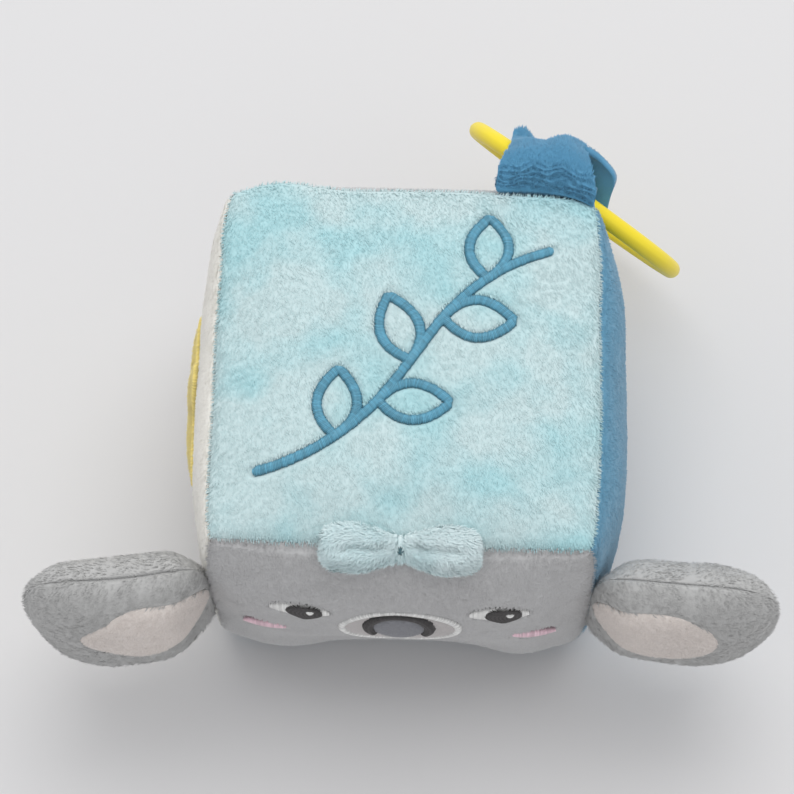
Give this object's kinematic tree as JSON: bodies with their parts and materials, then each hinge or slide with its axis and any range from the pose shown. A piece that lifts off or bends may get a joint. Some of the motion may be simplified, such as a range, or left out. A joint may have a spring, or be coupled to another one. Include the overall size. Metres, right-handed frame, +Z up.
{
  "type": "soft fabric block",
  "caption": "Plush activity cube for a baby: animal face with side ears and a bow on the front, stitched sprig on top, padded star on one side, plastic ring in a plush loop at a corner.",
  "frame": {"origin": "centre of the flat base, on the surface the block stands on", "axes": "+Z up; the face looks along -Y; +X is the viewer's right when looking at the face, and the ears reach along X"},
  "size_m": [0.2136, 0.177, 0.1084],
  "materials": {
    "aqua_plush": "matte",
    "grey_plush": "matte",
    "cream_plush": "matte",
    "blue_plush": "matte",
    "strap_plush": "matte",
    "white_plush": "matte",
    "inner_ear_plush": "matte",
    "yellow_plush": "matte",
    "bow_fabric": "matte",
    "nose_velvet": "matte",
    "charcoal_thread": "satin",
    "white_thread": "satin",
    "pink_thread": "satin",
    "blue_thread": "satin",
    "yellow_thread": "satin",
    "fibre": "matte",
    "ring_plastic": "satin"
  },
  "bodies": {
    "block": {"top_panel": "aqua_plush", "front_panel": "grey_plush", "left_panel": "cream_plush", "right_panel": "blue_plush", "back_panel": "grey_plush", "bottom_panel": "blue_plush", "fibre_filling": "fibre", "muzzle_patch": "white_plush", "nose_rim": "charcoal_thread", "nose_pad": "nose_velvet", "eye_white_left": "white_thread", "eye_pupil_left": "charcoal_thread", "eye_glint_left": "white_thread", "cheek_left": "pink_thread", "eye_white_right": "white_thread", "eye_pupil_right": "charcoal_thread", "eye_glint_right": "white_thread", "cheek_right": "pink_thread", "bow_knot": "bow_fabric", "star_patch": "yellow_plush", "star_rim": "yellow_thread", "top_embroidery": "blue_thread"},
    "ear_left": {"ear_left_front": "grey_plush", "ear_left_back": "grey_plush", "ear_left_filling": "fibre", "ear_left_lining": "inner_ear_plush"},
    "ear_right": {"ear_right_front": "grey_plush", "ear_right_back": "grey_plush", "ear_right_filling": "fibre", "ear_right_lining": "inner_ear_plush"},
    "bow_left": {"bow_left_wing": "bow_fabric"},
    "bow_right": {"bow_right_wing": "bow_fabric"},
    "strap": {"ring_strap": "strap_plush"},
    "ring": {"teether_ring": "ring_plastic"}
  },
  "joints": [
    {"name": "ear_left_fold", "type": "hinge", "parent": "block", "child": "ear_left", "pos_m": [-0.053, -0.053, 0.057], "axis": [0, 0, 1], "range_deg": [-10, 85], "stiffness_Nm_per_rad": 0.02},
    {"name": "ear_right_fold", "type": "hinge", "parent": "block", "child": "ear_right", "pos_m": [0.053, -0.053, 0.057], "axis": [0, 0, -1], "range_deg": [-10, 85], "stiffness_Nm_per_rad": 0.02},
    {"name": "bow_left_lift", "type": "hinge", "parent": "block", "child": "bow_left", "pos_m": [-0.00202, -0.05422, 0.10174], "axis": [0, 0.8192, 0.5736], "range_deg": [0, 60], "stiffness_Nm_per_rad": 0.002},
    {"name": "bow_right_lift", "type": "hinge", "parent": "block", "child": "bow_right", "pos_m": [0.00202, -0.05422, 0.10174], "axis": [0, -0.8192, -0.5736], "range_deg": [0, 60], "stiffness_Nm_per_rad": 0.002},
    {"name": "strap_flap", "type": "hinge", "parent": "block", "child": "strap", "pos_m": [0.0375, 0.05332, 0.1019], "axis": [1, 0, 0], "range_deg": [0, 75], "stiffness_Nm_per_rad": 0.02},
    {"name": "ring_swing", "type": "hinge", "parent": "strap", "child": "ring", "pos_m": [0.0378, 0.0688, 0.084], "axis": [0.7708, -0.6287, 0.1028], "range_deg": [-16, 60]}
  ]
}
